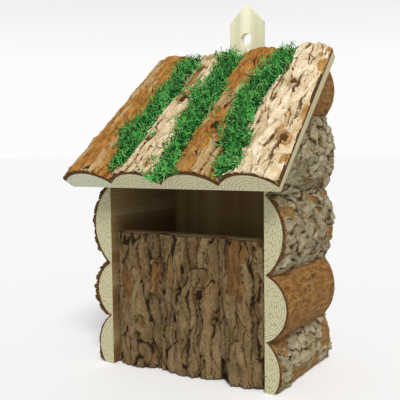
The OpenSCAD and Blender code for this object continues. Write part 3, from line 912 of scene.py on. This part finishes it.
def mossStrand(curve, number, rand):
    settings = mossSettings
    s = rand.uniform(settings["start"][number - 1], settings["end"])
    clumpStep, clumpDepth = settings["clumpStep"]
    clumpSpot = Vector((s * settings["clumpScale"], number * clumpStep, clumpDepth))
    least, more = settings["clump"]
    clump = clamp(least + more * noise.noise(clumpSpot))
    least, more = settings["clumpWidth"]
    width = settings["spread"] * (least + more * clump)
    x = mossMiddle(number, s) + rand.gauss(0, width)
    ground = barkHeight(x, s)
    least, more = settings["pile"]
    off = (x - mossMiddle(number, s)) / (settings["pileWidth"] * width)
    pile = (least + more * clump) * mm * math.exp(-off ** 2)
    n = ground + rand.random() * pile
    heading = rand.uniform(0, 2 * math.pi)
    climb = rand.uniform(*settings["climb"])
    turn = rand.choice((-1, 1)) * rand.uniform(settings["turn"], settings["curl"])
    spline = curve.splines.new("POLY")
    spline.points.add(settings["points"] - 1)
    for point in spline.points:
        point.co = (*logPoint(roofLogs[1], x, n, s), 1)
        point.radius = 1 - settings["thinning"] * clamp((n - ground) / settings["thinningOver"])
        flat = math.cos(climb)
        x += settings["stride"] * math.cos(heading) * flat
        s += settings["stride"] * math.sin(heading) * flat
        n += settings["stride"] * math.sin(climb)
        n = clamp(n, barkHeight(x, s) + settings["leastHeight"], settings["top"])
        heading += turn + rand.uniform(-settings["waver"], settings["waver"])
        climb += rand.uniform(*settings["climbStep"])
        climb = clamp(climb, -settings["mostClimb"], settings["mostClimb"])
    spline.material_index = rand.choices(range(4), settings["shares"])[0]


def mossStrip(number):
    rand = random.Random(mossSettings["firstSeed"] + number)
    curve = bpy.data.curves.new(f"mossStrip{number}", "CURVE")
    curve.dimensions = "3D"
    curve.bevel_depth = mossSettings["radius"]
    curve.bevel_resolution = 0
    curve.use_fill_caps = True
    for material in mossTones:
        curve.materials.append(material)
    for index in range(mossSettings["strands"]):
        mossStrand(curve, number, rand)
    shape = bpy.data.objects.new("mossCurve", curve)
    bpy.context.scene.collection.objects.link(shape)
    bpy.context.view_layer.update()
    mesh = bpy.data.meshes.new_from_object(shape.evaluated_get(bpy.context.evaluated_depsgraph_get()))
    mesh.name = f"mossStrip{number}"
    bpy.data.objects.remove(shape)
    piece = newObject(f"mossStrip{number}", mesh)
    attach(piece, "root")
    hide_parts(f"moss_strip_{number}")


bedSettings = {
    "columns": 26, "rows": 150, "half": 5 * mm, "inset": 4 * mm, "ragged": 0.35, "raggedScale": 150,
    "sunk": 0.8 * mm, "lumpScale": 260, "lumpNoise": (0.7, 2, 3), "height": 2.4, "lump": 1.6,
}


def mossBed(number):
    # The matted bottom of a strip, which closes the valley; its dark moss tone is painted shade under the
    # strands
    settings = bedSettings
    bm = bmesh.new()
    bmesh.ops.create_grid(bm, x_segments=settings["columns"], y_segments=settings["rows"], size=0.5)
    made = bmesh.ops.extrude_face_region(bm, geom=bm.faces[:], use_keep_orig=True)["geom"]
    upper = set(v for v in made if isinstance(v, bmesh.types.BMVert))
    start = mossSettings["start"][number - 1] + settings["inset"]
    for vert in bm.verts:
        u = 2 * vert.co.x
        s = between(start, mossSettings["end"], vert.co.y + 0.5)
        edge = noise.noise(Vector((s * settings["raggedScale"], number, u)))
        x = mossMiddle(number, s) + u * settings["half"] * (1 + settings["ragged"] * edge)
        ground = barkHeight(x, s)
        n = ground - settings["sunk"]
        if vert in upper:
            spot = Vector((x * settings["lumpScale"], s * settings["lumpScale"], number))
            lump = noise.fractal(spot, *settings["lumpNoise"])
            n = ground + (1 - u * u) * (settings["height"] + settings["lump"] * lump) * mm
        vert.co = logPoint(roofLogs[1], x, n, s)
    bmesh.ops.recalc_face_normals(bm, faces=bm.faces[:])
    mesh = bpy.data.meshes.new(f"mossBed{number}")
    bm.to_mesh(mesh)
    bm.free()
    piece = newObject(f"mossBed{number}", mesh)
    # The bed wears the dark moss tone, painted shade under the strands
    mesh.materials.append(mossTones[2])
    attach(piece, "root")
    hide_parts(f"moss_strip_{number}")


for stripNumber in (1, 2, 3):
    mossBed(stripNumber)
    mossStrip(stripNumber)
print("moss: three strips of strands on matted beds")

# Boards, hanging batten and nails

# Each board: the material's name, its looks, the pith's place, the grain's direction and its turn
boards = {
    "back_board": ("backWood", "boards", (0.012, 0.16, 0), zAxis, upright),
    "floor_board": ("floorWood", "boards", (0, 0.02, -0.09), xAxis, sideways),
    "roof_batten": ("battenWood", "boards", (0, 0.03, 0.1), xAxis, sideways),
    "hanger": ("hangerWood", "hanger", (0.03, 0.12, 0), zAxis, upright),
}
for boardNode, (woodName, lookName, boardPith, grainAxis, grainTurn) in boards.items():
    dress(boardNode, sawnWood(woodName, woodLooks[lookName], boardPith, grainAxis, grainTurn))

nailLooks = {
    "roughness": 0.42, "bright": (0.55, 0.54, 0.52), "stain": (0.3, 0.26, 0.22), "stainNoise": (1200, 3),
    "stainFade": (0.45, 0.7), "grain": (3000, 2), "bump": (0.2, 0.1 * mm),
}


def nailSteel():
    looks = nailLooks
    material, tree, shader = startMaterial("nailSteel", looks["roughness"])
    shader.inputs["Metallic"].default_value = 1
    coords = addNode(tree, "ShaderNodeTexCoord").outputs["Object"]
    stain = spread(tree, blotches(tree, coords, *looks["stainNoise"]), *looks["stainFade"])
    body = mixTones(tree, stain, looks["bright"], looks["stain"])
    tree.links.new(body, shader.inputs["Base Color"])
    addBump(tree, shader, blotches(tree, coords, *looks["grain"]), *looks["bump"])
    return material


steel = nailSteel()
for nailNode in ("wall_nails", "floor_nails", "front_nails", "roof_nails", "hanger_nails"):
    dress(nailNode, steel)
print("boards, batten and nails")

# Floor, lights and camera

studio = {
    "floorTone": (0.99, 0.99, 0.99), "floorSize": 14.0, "floorGap": 0.2 * mm, "floorRoughness": 0.7,
    "floorPatch": (3, 2), "floorFade": (0.3, 0.7), "floorShade": 0.985,
    "sunFrom": (0.62, -0.86, 1.05), "sunSpread": 0.35, "sunPower": 2.7,
    "skyLow": 0.98, "skyHigh": 0.2, "skyFade": (0.12, 0.75),
}


def buildFloor():
    bm = bmesh.new()
    bmesh.ops.create_grid(bm, x_segments=1, y_segments=1, size=studio["floorSize"])
    bmesh.ops.translate(bm, verts=bm.verts, vec=(0, 0, cadBox[0][2] - studio["floorGap"]))
    mesh = bpy.data.meshes.new("studioFloor")
    bm.to_mesh(mesh)
    bm.free()
    floor = newObject("studioFloor", mesh)
    material, tree, shader = startMaterial("paleFloor", studio["floorRoughness"])
    coords = addNode(tree, "ShaderNodeTexCoord").outputs["Object"]
    soft = spread(tree, blotches(tree, coords, *studio["floorPatch"]), *studio["floorFade"])
    tone = studio["floorTone"]
    body = mixTones(tree, soft, tone, tuple(value * studio["floorShade"] for value in tone))
    tree.links.new(body, shader.inputs["Base Color"])
    mesh.materials.append(material)


def addSun():
    lamp = bpy.data.lights.new("softSun", "SUN")
    lamp.angle = studio["sunSpread"]
    lamp.energy = studio["sunPower"]
    light = bpy.data.objects.new("softSun", lamp)
    bpy.context.scene.collection.objects.link(light)
    light.rotation_euler = (-Vector(studio["sunFrom"])).to_track_quat("-Z", "Y").to_euler()


def buildSky():
    # White at the horizon and dimmer overhead, so hollows stay darker than the faces
    world = bpy.data.worlds.new("studioSky")
    world.use_nodes = True
    tree = world.node_tree
    coords = addNode(tree, "ShaderNodeTexCoord").outputs["Generated"]
    height = addNode(tree, "ShaderNodeSeparateXYZ", {}, {0: coords}).outputs["Z"]
    power = spread(tree, height, *studio["skyFade"], studio["skyLow"], studio["skyHigh"])
    backdrop = tree.nodes["Background"]
    backdrop.inputs["Color"].default_value = (1, 1, 1, 1)
    tree.links.new(power, backdrop.inputs["Strength"])
    bpy.context.scene.world = world


buildFloor()
addSun()
buildSky()
bpy.context.scene.view_settings.view_transform = "Standard"

# Angles in degrees, the lens and the sensor in millimetres
cameraSettings = {
    "place": (0.2495, -0.4197, 0.1509), "heading": 32.14, "dip": 4.14, "roll": -0.665, "lens": 62.0,
    "sensor": 36, "nearest": 0.01,
}


def addCamera():
    view = bpy.data.cameras.new("frontRightView")
    view.lens = cameraSettings["lens"]
    view.sensor_width = cameraSettings["sensor"]
    view.clip_start = cameraSettings["nearest"]
    camera = bpy.data.objects.new("frontRightView", view)
    bpy.context.scene.collection.objects.link(camera)
    turn = Matrix.Rotation(math.radians(cameraSettings["heading"]), 4, "Z")
    turn = turn @ Matrix.Rotation(math.radians(90 - cameraSettings["dip"]), 4, "X")
    turn = turn @ Matrix.Rotation(math.radians(cameraSettings["roll"]), 4, "Z")
    camera.matrix_world = Matrix.Translation(cameraSettings["place"]) @ turn
    bpy.context.scene.camera = camera


addCamera()
print("floor, lights and camera")
